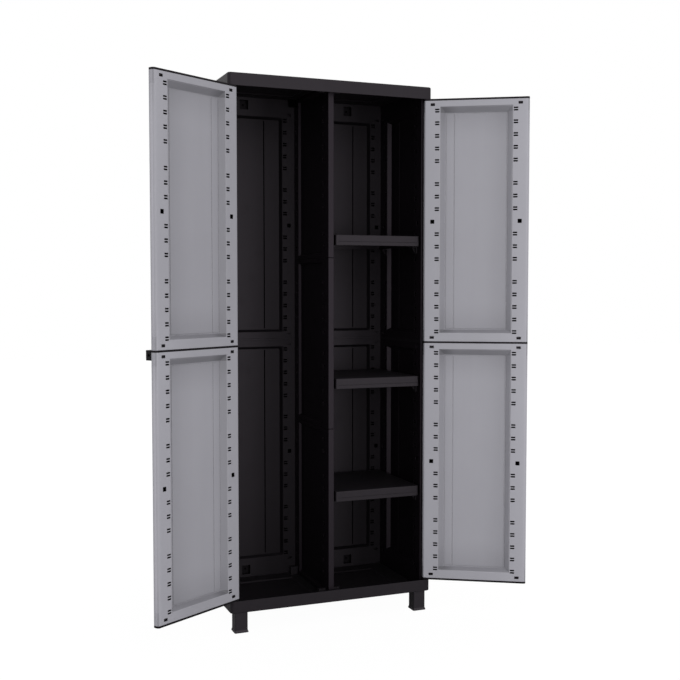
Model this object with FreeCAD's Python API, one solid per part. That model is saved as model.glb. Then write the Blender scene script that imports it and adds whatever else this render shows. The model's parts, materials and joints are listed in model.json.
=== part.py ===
"""Garden storage cabinet: a moulded carcass with two hinged doors, a divider and three half shelves.

Millimetres. +Z is up and -Y is the front. The origin is on the floor, in the middle of the cabinet's
footprint. The doors are built closed and then swung open about their hinge pins to the rest pose.
"""
import FreeCAD
import Part
import os
from math import hypot
from FreeCAD import Vector

os.makedirs("parts", exist_ok=True)

# Overall size
cabinet_width = 675.0
cabinet_depth = 375.0
cabinet_height = 1700.0

# Base tray and roof cap
base_band_height = 37.0
cap_band_height = 38.5
band_wall = 3.0
plate_thickness = 3.0
band_corner_radius = 12.0
base_edge_radius = 2.0
cap_edge_radius = 4.0
deck_rise = 4.0
deck_border = 55.0
deck_slope_run = 6.0
cap_field_border = 42.0
cap_groove_width = 5.0
cap_groove_depth = 1.0

# Feet
foot_height = 63.5
foot_side = 40.0
foot_wall = 2.5
foot_top = 3.0
foot_corner_radius = 3.0
foot_hollow_radius = 1.0
foot_rim_spread = 2.0
foot_rim_height = 2.5
foot_flare_top = 8.0
foot_inset_side = 15.0
foot_inset_front = 5.5
foot_boss_radius = 5.0
foot_boss_length = 24.0
foot_boss_offset = 12.0
screw_radius = 2.0
screw_head_radius = 4.5
screw_head_height = 2.6
screw_length = 26.0
screw_recess_length = 4.4
screw_recess_width = 1.0
screw_recess_depth = 1.2
screw_clearance = 0.4
thread_clearance = 0.05

# Panels: an inner and an outer shell that close on each other
panel_thickness = 22.0
inner_wall = 2.2
outer_wall = 2.8
outer_shell_depth = 8.0
stile_width = 53.0
field_half_height = 361.75
pan_clearance = 2.0
door_side_run = 14.5
door_bottom_run = 9.5
door_top_run = 17.5
wall_recess_run = 7.0
recess_corner_radius = 5.0
mouth_chamfer = 1.0
door_groove_width = 2.4
door_groove_depth = 1.0
wall_groove_width = 3.6
wall_groove_depth = 2.2
groove_floor_wall = 1.2
field_line_width = 4.0
field_line_depth = 1.1
door_groove_inset = 97.0
back_groove_inset = 113.0
side_groove_inset = 126.0
outer_field_depth = 1.2
outer_field_slope_run = 3.0
flute_width = 4.0
flute_depth = 0.8
flute_count = 3
door_inner_edge_radius = 8.0
door_outer_edge_radius = 7.0
rear_corner_radius = 7.0
wall_edge_radius = 3.0

# Slots in the panels' stiles
slot_width = 14.0
slot_height = 4.75
slot_corner_radius = 1.6
slot_pair_spacing = 7.5
slot_pitch = 40.0
near_slot_rows = 3
far_slot_rows = 5
slot_group_gap = 73.1
slot_column_inset = 43.0
square_hole_side = 13.0
square_hole_inset = 28.6
corner_hole_height = 8.5
corner_hole_end_distance = 12.3

# Square sockets with a wall-fixing hole in the back panels' end rails
socket_width = 29.0
socket_height = 31.0
socket_depth = 14.0
socket_wall = 2.2
socket_corner_radius = 1.0
socket_end_distance = 28.0
socket_side_distance = 139.0
fixing_hole_radius = 3.25
fixing_boss_radius = 7.0

# Doors and hinges
door_side_margin = 2.0
door_centre_gap = 3.0
door_foot_gap = 3.5
door_head_gap = 1.0
door_to_wall_gap = 2.0
door_open_angle = 149.2
trim_height = 6.0
joining_strip_height = 6.0
tongue_height = 14.0
tongue_wall = 2.0
hinge_edge_distance = 10.5
hinge_front_distance = 7.0
pin_radius = 2.5
pin_depth_in_band = 10.0
pin_press_clearance = 0.05
pin_running_clearance = 0.08
pin_boss_radius = 4.0
pin_end_chamfer = 0.5
bush_wall = 1.7
bush_length = 12.0
bush_flange_radius = 6.0
bush_seat_clearance = 0.05
band_boss_radius = 6.4

# Handles with a padlock eye
handle_length = 78.0
handle_height = 29.0
handle_projection = 21.0
handle_plate = 3.0
handle_bar = 7.0
handle_post = 8.0
handle_edge_margin = 2.0
handle_edge_radius = 1.5
padlock_hole_radius = 4.5
peg_radius = 3.0
peg_length = 8.0
peg_clearance = 0.2
peg_inset = 14.0

# Divider
divider_thickness = 19.0
divider_web = 2.4
divider_wall = 2.2
divider_sections = 3
divider_front_stile = 56.0
divider_rear_stile = 41.0
divider_rail = 12.0
divider_slope_run = 5.0
divider_end_chamfer = 1.4
divider_edge_radius = 2.0
divider_front_setback = 0.5
divider_front_column = 43.0
divider_rear_column = 20.5
dowel_length = 40.0
dowel_edge_radius = 2.0
lug_width = 26.0
lug_depth = 12.0
lug_height = 26.0
lug_front_distance = 18.0
lug_edge_radius = 2.0

# Shelves and their clips
shelf_heights = {"upper_shelf": 1222.0, "middle_shelf": 769.5, "lower_shelf": 410.5}
shelf_thickness = 32.5
shelf_wall = 2.5
shelf_end_gap = 6.2
shelf_back_gap = 8.0
shelf_edge_radius = 2.0
shelf_corner_radius = 5.0
shelf_ribs = 3
shelf_rib_thickness = 2.0
shelf_rib_height = 20.0
shelf_line_height = 10.5
shelf_line_width = 1.6
shelf_line_depth = 0.9
shelf_line_inset = 9.0
clip_width = 28.0
clip_plate = 2.5
clip_drop = 16.0
clip_ledge = 3.0
clip_ledge_reach = 16.0
clip_gusset = 3.0
clip_seat = 6.0
clip_prong_margin = 0.7
clip_prong_depth = 7.0
clip_hook_drop = 2.4

# Clearances between pieces that fit together
fit_gap = 0.25
rest_gap = 0.3
rear_corner_gap = 0.5

# Planes of the carcass
half_width = cabinet_width / 2
band_inner_radius = min(rear_corner_radius, band_corner_radius - band_wall)
front = -cabinet_depth / 2
back = cabinet_depth / 2
base_bottom = foot_height
base_top = base_bottom + base_band_height
floor_top = base_bottom + plate_thickness
deck_top = floor_top + deck_rise
cap_bottom = cabinet_height - cap_band_height
roof_under = cabinet_height - plate_thickness
roof_deck = roof_under - deck_rise

# Depths inside a panel, from its inner face
parting_depth = panel_thickness - outer_shell_depth
cavity_depth = panel_thickness - outer_wall
recess_depth = cavity_depth - pan_clearance - inner_wall

# Planes of the walls and doors
door_inner_y = front + panel_thickness
wall_front_y = door_inner_y + door_to_wall_gap
wall_outer_x = half_width - band_wall - fit_gap
wall_inner_x = wall_outer_x - panel_thickness
back_outer_y = back - band_wall - fit_gap
back_inner_y = back_outer_y - panel_thickness
wall_rear_y = back_inner_y - rest_gap
back_half_width = wall_outer_x - (panel_thickness - parting_depth) - fit_gap - rear_corner_gap
side_extension = back_outer_y - wall_rear_y
side_width = wall_rear_y - wall_front_y
back_width = back_half_width - fit_gap

# Heights of the panels
door_bottom = base_top + door_foot_gap
door_top = cap_bottom - door_head_gap
door_width = half_width - door_side_margin - door_centre_gap / 2
door_panel_height = (door_top - door_bottom - 2 * trim_height - joining_strip_height) / 2
lower_field_z = door_bottom + trim_height + door_panel_height / 2
upper_field_z = lower_field_z + door_panel_height + joining_strip_height
field_half = min(field_half_height, door_panel_height / 2 - tongue_height - 2 * inner_wall)
wall_bottom = floor_top + rest_gap
wall_top = roof_under - rest_gap
joint_z = (lower_field_z + upper_field_z) / 2
joint_low = joint_z - joining_strip_height / 2
joint_high = joint_z + joining_strip_height / 2

# Hinge axes
hinge_x = half_width - door_side_margin - hinge_edge_distance
hinge_y = front + hinge_front_distance
up = Vector(0, 0, 1)
nodes = {}


def box(x0, x1, y0, y1, z0, z1):
    return Part.makeBox(x1 - x0, y1 - y0, z1 - z0, Vector(x0, y0, z0))


def cylinder_z(x, y, z0, z1, radius):
    return Part.makeCylinder(radius, z1 - z0, Vector(x, y, z0), up)


def cylinder_y(x, z, y0, y1, radius):
    return Part.makeCylinder(radius, y1 - y0, Vector(x, y0, z), Vector(0, 1, 0))


def cylinder_x(y, z, x0, x1, radius):
    return Part.makeCylinder(radius, x1 - x0, Vector(x0, y, z), Vector(1, 0, 0))


def outline(corners, radii):
    """Closed wire through the corners, in order, each rounded by its own radius."""
    edges = []
    count = len(corners)
    starts = []
    ends = []
    for i, corner in enumerate(corners):
        before = (corners[i - 1] - corner).normalize()
        after = (corners[(i + 1) % count] - corner).normalize()
        starts.append(corner + before * radii[i])
        ends.append(corner + after * radii[i])
    for i, corner in enumerate(corners):
        if radii[i] > 0:
            before = (starts[i] - corner).normalize()
            after = (ends[i] - corner).normalize()
            centre = corner + (before + after) * radii[i]
            middle = centre - (before + after).normalize() * radii[i]
            edges.append(Part.Arc(starts[i], middle, ends[i]).toShape())
        edges.append(Part.LineSegment(ends[i], starts[(i + 1) % count]).toShape())
    return Part.Wire(edges)


def prism(x0, x1, y0, y1, z0, z1, radii):
    """Upright block whose four vertical edges are rounded: radii run from (x0, y0) round to (x0, y1)."""
    corners = [Vector(x0, y0, z0), Vector(x1, y0, z0), Vector(x1, y1, z0), Vector(x0, y1, z0)]
    return Part.Face(outline(corners, radii)).extrude(Vector(0, 0, z1 - z0))


def plaque(x, z, width, height, radius, y0, y1):
    """Rounded rectangle centred on (x, z), as deep as y0 to y1."""
    x0 = x - width / 2
    x1 = x + width / 2
    z0 = z - height / 2
    z1 = z + height / 2
    corners = [Vector(x0, y0, z0), Vector(x1, y0, z0), Vector(x1, y0, z1), Vector(x0, y0, z1)]
    return Part.Face(outline(corners, [radius] * 4)).extrude(Vector(0, y1 - y0, 0))


def upright_frustum(x0, x1, z0, z1, y_mouth, y_floor, run, end_runs=None):
    """Tapered block with its mouth in the plane y_mouth and its smaller floor in the plane y_floor.

    The lower and upper ends slope by their own runs where these are given.
    """
    low_run, high_run = end_runs or (run, run)
    mouth = (x0, x1, z0, z1)
    floor = (x0 + run, x1 - run, z0 + low_run, z1 - high_run)
    near, far = (floor, mouth) if y_floor < y_mouth else (mouth, floor)
    y0 = min(y_mouth, y_floor)
    y1 = max(y_mouth, y_floor)
    return Part.makeWedge(near[0], y0, near[2], far[2], far[0], near[1], y1, near[3], far[3], far[1])


def level_frustum(x0, x1, y0, y1, z_mouth, z_floor, run):
    """Tapered block with its mouth in the plane z_mouth and its smaller floor in the plane z_floor."""
    block = upright_frustum(x0, x1, -y1, -y0, z_mouth, z_floor, run)
    block.rotate(Vector(0, 0, 0), Vector(1, 0, 0), 90)
    return block


def round_slanted_edges(solid, radius):
    """Round the edges of a frustum that run from its mouth to its floor."""
    slanted = []
    for edge in solid.Edges:
        run = edge.Vertexes[1].Point - edge.Vertexes[0].Point
        if abs(run.x) > 1 and abs(run.y) > 1 and abs(run.z) > 1:
            slanted.append(edge)
    return solid.makeFillet(radius, slanted)


def mirrored(shape, point, normal):
    return shape.mirror(point, normal)


def to_other_side(shape):
    return mirrored(shape, Vector(0, 0, 0), Vector(1, 0, 0))


def moved(shape, x=0, y=0, z=0):
    copy = shape.copy()
    copy.translate(Vector(x, y, z))
    return copy


def turned(shape, angle, x=0, y=0):
    """A copy turned about the vertical line through (x, y)."""
    copy = shape.copy()
    copy.rotate(Vector(x, y, 0), up, angle)
    return copy


def placed(shape, angle, x, y):
    """A panel piece from its own frame, turned about its corner and set down at (x, y)."""
    return moved(turned(shape, angle), x, y)


def keep(name, shape):
    nodes[name] = shape


def row_offsets():
    """Heights of the slot pairs above a panel's centre. The same rows lie below it."""
    near = [slot_pitch * (i + 1) for i in range(near_slot_rows)]
    far_start = near[-1] + slot_group_gap
    far = [far_start + slot_pitch * i for i in range(far_slot_rows)]
    highest = field_half - slot_pair_spacing
    return [offset for offset in near + far if offset <= highest]


def row_heights():
    """Every slot pair's height, from the floor up."""
    offsets = row_offsets()
    heights = []
    for centre in (lower_field_z, upper_field_z):
        heights += [centre - offset for offset in offsets]
        heights += [centre + offset for offset in offsets]
    return sorted(heights)


def slot_cutters(xs, heights, y0, y1):
    """The two slots of each pair, for every column and row."""
    cutters = []
    for x in xs:
        for z in heights:
            for side in (-1, 1):
                slot_z = z + side * slot_pair_spacing / 2
                cutters.append(plaque(x, slot_z, slot_width, slot_height, slot_corner_radius, y0, y1))
    return cutters


def frame_hole_cutters(width, field_z, y0, y1):
    """The square holes half way up the stiles and the oblong holes in the frame's corners."""
    cutters = []
    corner_z = door_panel_height / 2 - corner_hole_end_distance
    for x in (square_hole_inset, width - square_hole_inset):
        cutters.append(plaque(x, field_z, square_hole_side, square_hole_side, slot_corner_radius, y0, y1))
        for z in (field_z - corner_z, field_z + corner_z):
            cutters.append(plaque(x, z, slot_width, corner_hole_height, slot_corner_radius, y0, y1))
    return cutters


def inner_shell(width, z0, z1, field_z, edge_radius, runs, groove, socket=None):
    """Framed inner shell in its own frame: x runs across it from 0, and its show face is y = 0.

    The recess slopes by its own runs at its sides, its bottom and its top. The upright groove in the
    field is given as its x, its width and its depth.
    """
    edge_rounding = [0, 0, edge_radius, edge_radius]
    hollow_rounding = [0, 0, edge_radius - inner_wall, edge_radius - inner_wall]
    inside = (inner_wall, width - inner_wall, -parting_depth - 1, -inner_wall)
    block = prism(0, width, -parting_depth, 0, z0, z1, edge_rounding)
    hollow = prism(*inside, z0 - 1, z1 + 1, hollow_rounding)
    side_run, bottom_run, top_run = runs
    foot_half = field_half - side_run
    low = field_z - foot_half - bottom_run
    high = field_z + foot_half + top_run
    left = stile_width
    right = width - stile_width
    pan_depth = recess_depth + inner_wall
    spreads = [inner_wall * hypot(run, recess_depth) / recess_depth for run in runs]
    pan_runs = [run * pan_depth / recess_depth for run in runs]
    pan_mouth = (left - spreads[0], right + spreads[0], low - spreads[1], high + spreads[2])
    pan = upright_frustum(*pan_mouth, 0, -pan_depth, pan_runs[0], pan_runs[1:])
    recess = upright_frustum(left, right, low, high, 0, -recess_depth, side_run, (bottom_run, top_run))
    recess = round_slanted_edges(recess, recess_corner_radius)
    edge = mouth_chamfer
    mouth = upright_frustum(left - edge, right + edge, low - edge, high + edge, 0, -2 * edge, 2 * edge)
    line_end = foot_half - field_line_width
    line_ends = (field_z - line_end, field_z + line_end)
    cut, backing = groove_and_backing(*groove, *line_ends)
    through = (-inner_wall - 1, 1)
    columns = (slot_column_inset, width - slot_column_inset)
    heights = [field_z + side * offset for offset in row_offsets() for side in (-1, 1)]
    cutters = slot_cutters(columns, heights, *through) + frame_hole_cutters(width, field_z, *through)
    shell = block.cut(hollow).fuse([pan, backing])
    if socket:
        socket_x, socket_z = socket
        shell = shell.fuse(socket_block(socket_x, socket_z))
        cutters.append(plaque(*socket, socket_width, socket_height, socket_corner_radius, -socket_depth, 1))
        cutters.append(cylinder_y(socket_x, socket_z, -panel_thickness, 0, fixing_hole_radius))
    return shell.cut([recess, mouth, cut] + cutters).removeSplitter()


def groove_and_backing(x, width, depth, z0, z1):
    """Upright groove in a field's floor, and the rib behind the floor that it needs when it is deep."""
    left = x - width / 2
    right = x + width / 2
    floor = -(recess_depth + depth)
    cut = box(left, right, floor, -recess_depth + 1, z0, z1)
    rib_face = min(floor - groove_floor_wall, -(recess_depth + inner_wall / 2) - 0.5)
    side = inner_wall
    rib = box(left - side, right + side, rib_face, -(recess_depth + inner_wall / 2), z0 - side, z1 + side)
    return cut, rib


def field_line(width, field_z):
    """Shallow line round the foot of a door panel's slopes."""
    x = width / 2
    floor_width = width - 2 * (stile_width + door_side_run)
    floor_height = 2 * (field_half - door_side_run)
    depths = (-(recess_depth + field_line_depth), -recess_depth + 1)
    step = field_line_width
    ring = plaque(x, field_z, floor_width, floor_height, recess_corner_radius, *depths)
    inside = (floor_width - 2 * step, floor_height - 2 * step, recess_corner_radius - step)
    return ring.cut(plaque(x, field_z, *inside, depths[0] - 1, depths[1] + 1))


def socket_block(x, z):
    """The walls round a square socket, before the socket is cut."""
    width = socket_width + 2 * socket_wall
    height = socket_height + 2 * socket_wall
    return plaque(x, z, width, height, socket_corner_radius, -socket_depth - socket_wall, -inner_wall / 2)


def outer_shell(extension, width, z0, z1, field_z, radii, socket=None):
    """Outer shell in the same frame as the inner one: its show face is y = -panel_thickness."""
    closing = -(parting_depth + fit_gap)
    inside = [max(radius - outer_wall, 0.5) for radius in radii]
    end = width + extension
    block = prism(0, end, -panel_thickness, closing, z0, z1, radii + [0, 0])
    open_ends = (z0 - 1, z1 + 1)
    hollow = prism(inner_wall, end - inner_wall, -cavity_depth, closing + 1, *open_ends, inside + [0, 0])
    low = field_z - field_half
    high = field_z + field_half
    left = stile_width
    right = width - stile_width
    face = -panel_thickness
    field = upright_frustum(left, right, low, high, face, face + outer_field_depth, outer_field_slope_run)
    cutters = [field]
    spacing = (right - left) / (flute_count + 1)
    flute_end = 4 * outer_field_slope_run
    flute_ends = (low + flute_end, high - flute_end)
    depth = outer_field_depth + flute_depth
    for i in range(flute_count):
        start = left + spacing * (i + 1) - flute_width / 2
        flute = upright_frustum(start, start + flute_width, *flute_ends, face, face + depth, depth / 2)
        cutters.append(flute)
    shell = block.cut(hollow)
    if socket:
        socket_x, socket_z = socket
        boss_end = -(socket_depth + socket_wall + fit_gap)
        boss = cylinder_y(socket_x, socket_z, face + outer_wall / 2, boss_end, fixing_boss_radius)
        shell = shell.fuse(boss)
        cutters.append(cylinder_y(socket_x, socket_z, face - 1, 0, fixing_hole_radius))
    return shell.cut(cutters).removeSplitter()


def tongue(width, z0, z1):
    """Hollow tongue that fills the mouth of a closed pair of shells."""
    gap = fit_gap
    near = -(inner_wall + gap)
    far = -(cavity_depth - gap)
    left = inner_wall + gap
    right = width - left
    rounding = min(door_inner_edge_radius - 1.5, (near - far) / 2 - 1)
    outside = prism(left, right, far, near, z0, z1, [rounding] * 4)
    wall = tongue_wall
    hollow = (left + wall, right - wall, far + wall, near - wall)
    return outside.cut(prism(*hollow, z0 - 1, z1 + 1, [rounding - wall] * 4))


def trim_plate(width, z0, z1, inner_radius, outer_radius):
    radii = [outer_radius, outer_radius, inner_radius, inner_radius]
    return prism(0, width, -panel_thickness, 0, z0, z1, radii)


def wall_joining_strip(width, extension):
    """Strip between a lower and an upper wall panel, with a tongue into each."""
    levels = (joint_low + fit_gap, joint_high - fit_gap)
    strip = trim_plate(width, *levels, wall_edge_radius, wall_edge_radius)
    if extension:
        rounding = [0, band_inner_radius, 0, 0]
        closing = -(parting_depth + fit_gap)
        start = width - 2 * wall_edge_radius
        end = width + extension
        tail = prism(start, end, -panel_thickness, closing, *levels, rounding)
        strip = strip.fuse(tail)
    lower = tongue(width, joint_low - tongue_height, joint_low + joining_strip_height / 2)
    upper = tongue(width, joint_high - joining_strip_height / 2, joint_high + tongue_height)
    return strip.fuse([lower, upper]).removeSplitter()


def door_cap():
    """Bottom cap of the left door: a plate, a tongue into the panel and the hinge pin's boss."""
    z0 = door_bottom
    z1 = door_bottom + trim_height - fit_gap
    plate = trim_plate(door_width, z0, z1, door_inner_edge_radius, door_outer_edge_radius)
    ring = tongue(door_width, z1 - 1, z1 + tongue_height)
    pin_y = -(panel_thickness - hinge_front_distance)
    boss = cylinder_z(hinge_edge_distance, pin_y, z0, z1 + tongue_height, pin_boss_radius)
    bore_radius = pin_radius + pin_press_clearance
    bore = cylinder_z(hinge_edge_distance, pin_y, z0 - 1, z1 + tongue_height + 1, bore_radius)
    return plate.fuse([ring, boss]).cut(bore).removeSplitter()


def door_middle_strip():
    """Black strip between the door's panels, drilled for the handle's pegs."""
    z0 = joint_low + fit_gap
    z1 = joint_high - fit_gap
    plate = trim_plate(door_width, z0, z1, door_inner_edge_radius, door_outer_edge_radius)
    lower = tongue(door_width, z0 - tongue_height, z0 + 1)
    upper = tongue(door_width, z1 - 1, z1 + tongue_height)
    holes = [handle_peg(x, peg_clearance) for x in peg_places()]
    return plate.fuse([lower, upper]).cut(holes).removeSplitter()


def peg_places():
    right = door_width - handle_edge_margin - peg_inset
    return (right - handle_length + 2 * peg_inset, right)


def handle_peg(x, clearance=0.0):
    """Peg on the handle's back, or the hole for it when a clearance is given."""
    z = joint_low - tongue_height / 2 - joining_strip_height / 4
    start = -panel_thickness - handle_plate / 2
    end = -panel_thickness + peg_length + 2 * clearance
    return cylinder_y(x, z, start, end, peg_radius + clearance)


def door_handle():
    """Pull handle on the left door's outer face, with a padlock eye in the post at the free edge."""
    right = door_width - handle_edge_margin
    left = right - handle_length
    top = joint_high
    low = top - handle_height
    face = -panel_thickness
    tip = face - handle_projection
    skin = face - fit_gap
    plate = box(left, right, face - handle_plate, skin, low, top)
    bar = box(left, right, tip, tip + handle_bar, low, top)
    near_post = box(right - handle_post, right, tip, skin, low, top)
    far_post = box(left, left + handle_post, tip, skin, low, top)
    body = plate.fuse([bar, near_post, far_post]).removeSplitter()
    face_edges = [edge for edge in body.Edges if edge_is_at(edge, tip)]
    end_edges = [edge for edge in body.Edges if edge_leads_to(edge, tip, left, right)]
    body = body.makeFillet(handle_edge_radius, face_edges + end_edges)
    eye_y = (tip + handle_bar + face - handle_plate) / 2
    eye = cylinder_x(eye_y, (top + low) / 2, right - handle_post - 1, right + 1, padlock_hole_radius)
    pegs = [handle_peg(x) for x in peg_places()]
    return body.cut(eye).fuse(pegs)


def edge_is_at(edge, y):
    """Whether the whole edge lies in the plane y."""
    return all(abs(vertex.Point.y - y) < 1e-6 for vertex in edge.Vertexes)


def edge_is_level_at(edge, z):
    """Whether the whole edge lies in the level plane z."""
    return all(abs(vertex.Point.z - z) < 1e-6 for vertex in edge.Vertexes)


def edge_leads_to(edge, y, x0, x1):
    """Whether the edge starts in the plane y, at one of the two ends, and runs square to that plane."""
    first, last = edge.Vertexes[0].Point, edge.Vertexes[-1].Point
    square = abs(first.x - last.x) < 1e-6 and abs(first.z - last.z) < 1e-6
    reaches = min(abs(first.y - y), abs(last.y - y)) < 1e-6
    at_end = min(abs(first.x - x0), abs(first.x - x1)) < 1e-6
    return square and reaches and at_end


def hinge_pins():
    """Lower and upper hinge pin of the left door, in the door's own frame."""
    y = -(panel_thickness - hinge_front_distance)
    x = hinge_edge_distance
    inner_length = trim_height + tongue_height
    lower = cylinder_z(x, y, base_top - pin_depth_in_band, door_bottom + inner_length, pin_radius)
    upper = cylinder_z(x, y, door_top - inner_length, cap_bottom + pin_depth_in_band, pin_radius)
    return Part.Compound([rounded_ends(lower), rounded_ends(upper)])


def rounded_ends(pin):
    """A pin with its two end edges eased."""
    rings = [edge for edge in pin.Edges if len(edge.Vertexes) == 1]
    return pin.makeChamfer(pin_end_chamfer, rings)


def left_door_nodes():
    """Every piece of the left door, closed, in the cabinet's frame."""
    z0 = lower_field_z - door_panel_height / 2
    z1 = lower_field_z + door_panel_height / 2
    rise = upper_field_z - lower_field_z
    groove = (door_groove_inset, door_groove_width, door_groove_depth)
    runs = (door_side_run, door_bottom_run, door_top_run)
    inner = inner_shell(door_width, z0, z1, lower_field_z, door_inner_edge_radius, runs, groove)
    inner = inner.cut(field_line(door_width, lower_field_z)).removeSplitter()
    outer = outer_shell(0, door_width, z0, z1, lower_field_z, [door_outer_edge_radius] * 2)
    peg_holes = [handle_peg(x, peg_clearance) for x in peg_places()]
    bottom_cap = door_cap()
    middle = Vector(0, 0, (door_bottom + door_top) / 2)
    pieces = {
        "lower_inner_panel": inner,
        "upper_inner_panel": moved(inner, z=rise),
        "lower_outer_panel": outer.cut(peg_holes),
        "upper_outer_panel": moved(outer, z=rise),
        "bottom_cap": bottom_cap,
        "top_cap": mirrored(bottom_cap, middle, up),
        "middle_strip": door_middle_strip(),
        "handle": door_handle(),
        "hinge_pins": hinge_pins(),
    }
    x = -(half_width - door_side_margin)
    return {name: moved(shape, x, door_inner_y) for name, shape in pieces.items()}


def make_doors():
    """Both doors, swung open about their hinges."""
    for name, shape in left_door_nodes().items():
        keep("left_door_" + name, turned(shape, -door_open_angle, -hinge_x, hinge_y))
        keep("right_door_" + name, turned(to_other_side(shape), door_open_angle, hinge_x, hinge_y))


def make_side_walls():
    """Side walls: their outer shells run on behind the ends of the back panels."""
    width = side_width
    levels = {
        "lower": (wall_bottom, joint_low, lower_field_z),
        "upper": (joint_high, wall_top, upper_field_z),
    }
    groove = (width - side_groove_inset, wall_groove_width, wall_groove_depth)
    for level, (z0, z1, field_z) in levels.items():
        inner = inner_shell(width, z0, z1, field_z, wall_edge_radius, [wall_recess_run] * 3, groove)
        outer = outer_shell(side_extension, width, z0, z1, field_z, [wall_edge_radius, band_inner_radius])
        for name, shape in (("inner_panel", inner), ("outer_panel", outer)):
            right = placed(shape, 90, wall_inner_x, wall_front_y)
            keep(f"right_wall_{level}_{name}", right)
            keep(f"left_wall_{level}_{name}", to_other_side(right))
    strip = placed(wall_joining_strip(width, side_extension), 90, wall_inner_x, wall_front_y)
    keep("right_wall_joining_strip", strip)
    keep("left_wall_joining_strip", to_other_side(strip))


def make_back_wall():
    """Four back panels, two by two. In their own frame x runs from the cabinet's right to its left."""
    width = back_width
    levels = {
        "lower": (wall_bottom, joint_low, lower_field_z, wall_bottom + socket_end_distance),
        "upper": (joint_high, wall_top, upper_field_z, wall_top - socket_end_distance),
    }
    strip = wall_joining_strip(width, 0)
    groove = (back_groove_inset, wall_groove_width, wall_groove_depth)
    frame = (wall_edge_radius, [wall_recess_run] * 3, groove)
    sides = {
        "right": (back_half_width, socket_side_distance),
        "left": (-fit_gap, width - socket_side_distance),
    }
    for side, (start_x, socket_x) in sides.items():
        for level, (z0, z1, field_z, socket_z) in levels.items():
            socket = (socket_x, socket_z)
            inner = inner_shell(width, z0, z1, field_z, *frame, socket)
            outer = outer_shell(0, width, z0, z1, field_z, [wall_edge_radius] * 2, socket)
            keep(f"back_{level}_{side}_inner_panel", placed(inner, 180, start_x, back_inner_y))
            keep(f"back_{level}_{side}_outer_panel", placed(outer, 180, start_x, back_inner_y))
        keep(f"back_{side}_joining_strip", placed(strip, 180, start_x, back_inner_y))


def divider_span():
    """Front and rear ends of the divider, and the height of one section."""
    y0 = wall_front_y + divider_front_setback
    y1 = back_inner_y - rest_gap
    height = (roof_deck - deck_top - 2 * rest_gap) / divider_sections
    return y0, y1, height


def divider_section(z0, z1):
    """One section in its own frame: x runs from the front edge, and the thickness is centred on y = 0."""
    y_front, y_rear, _ = divider_span()
    width = y_rear - y_front
    half = divider_thickness / 2
    shell = divider_wall
    inside = half - shell
    z0 += fit_gap / 2
    z1 -= fit_gap / 2
    block = prism(0, width, -half, half, z0, z1, [divider_edge_radius] * 4)
    ends = [edge for edge in block.Edges if edge_is_level_at(edge, z0) or edge_is_level_at(edge, z1)]
    block = block.makeChamfer(divider_end_chamfer, ends)
    left = divider_front_stile
    right = width - divider_rear_stile
    low = z0 + divider_rail
    high = z1 - divider_rail
    cutters = []
    for side in (-1, 1):
        floor = side * divider_web / 2
        cutters.append(upright_frustum(left, right, low, high, side * half, floor, divider_slope_run))
    cutters.append(box(shell, left - shell, -inside, inside, z0 - 1, z1 + 1))
    cutters.append(box(right + shell, width - shell, -inside, inside, z0 - 1, z1 + 1))
    cutters.append(box(left, right, -inside, inside, z0 - 1, low - shell))
    cutters.append(box(left, right, -inside, inside, high + shell, z1 + 1))
    margin = slot_pair_spacing + slot_height
    heights = [z for z in row_heights() if z0 + margin < z < z1 - margin]
    cutters += slot_cutters((divider_front_column,), heights, -half - 1, half + 1)
    cutters += slot_cutters((width - divider_rear_column,), heights, -half - 1, half + 1)
    return block.cut(cutters).removeSplitter()


def make_divider():
    """The divider's sections and the dowels in their hollow stiles."""
    y0, y1, height = divider_span()
    names = ["lower", "middle", "upper"]
    bottom = deck_top + rest_gap
    width = y1 - y0
    inside = divider_thickness / 2 - divider_wall - fit_gap
    dowels = []
    stiles = ((0, divider_front_stile), (width - divider_rear_stile, width))
    for i, name in enumerate(names):
        section = divider_section(bottom + height * i, bottom + height * (i + 1))
        keep("divider_" + name, placed(section, 90, 0, y0))
    for i in range(1, divider_sections):
        z = bottom + height * i
        for start, end in stiles:
            x0 = start + divider_wall + fit_gap
            x1 = end - divider_wall - fit_gap
            ends = (z - dowel_length / 2, z + dowel_length / 2)
            dowel = prism(x0, x1, -inside, inside, *ends, [dowel_edge_radius] * 4)
            dowels.append(placed(dowel, 90, 0, y0))
    keep("divider_dowels", Part.Compound(dowels))


def divider_lugs(z0, z1):
    """Lugs that hold the divider's end, two by two on each side of it."""
    y0, y1, _ = divider_span()
    lugs = []
    near = divider_thickness / 2 + fit_gap
    for y in (y0 + lug_front_distance, y1 - lug_front_distance - lug_depth):
        for x0, x1 in ((near, near + lug_width), (-near - lug_width, -near)):
            lugs.append(prism(x0, x1, y, y + lug_depth, z0, z1, [lug_edge_radius] * 4))
    return lugs


def foot_places():
    """Centre of each foot, with the sides of the cabinet that it stands at."""
    x = half_width - foot_inset_side - foot_side / 2
    y = cabinet_depth / 2 - foot_inset_front - foot_side / 2
    return {
        "front_left_foot": (-x, -y),
        "front_right_foot": (x, -y),
        "rear_left_foot": (-x, y),
        "rear_right_foot": (x, y),
    }


def screw_place(x, y):
    """The foot's screw stands nearer the cabinet's middle than the foot does."""
    step = foot_boss_offset if y < 0 else -foot_boss_offset
    return x, y + step


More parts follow.
